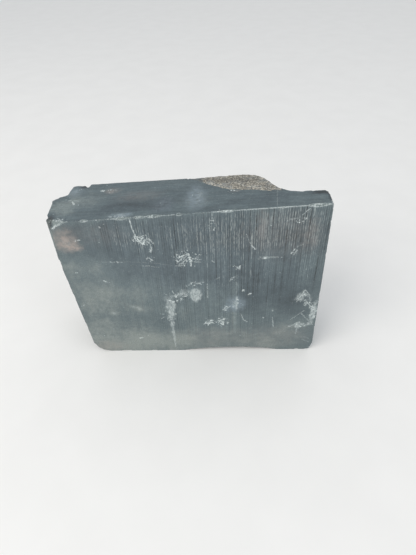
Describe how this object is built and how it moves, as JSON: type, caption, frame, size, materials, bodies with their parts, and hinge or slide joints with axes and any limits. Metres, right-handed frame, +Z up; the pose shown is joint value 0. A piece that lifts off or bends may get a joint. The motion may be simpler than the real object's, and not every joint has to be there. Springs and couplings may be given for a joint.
{
  "type": "sawn wonderstone block",
  "caption": "Upright block of slate-grey wonderstone with sawn front, top and foot, chipped arrises, and tan weathered rind left on the back and top right.",
  "frame": {"origin": "middle of the block's box, on the surface that its underside rests on", "axes": "+X along the block's length, the broad sawn front faces -Y, +Z up from the flat underside"},
  "size_m": [0.1876, 0.0558, 0.1376],
  "materials": {
    "stone": "sawn, dry and dusty, with a rough tan rind on the back"
  },
  "bodies": {
    "root": {"wonderstone_block": "stone"}
  },
  "joints": []
}
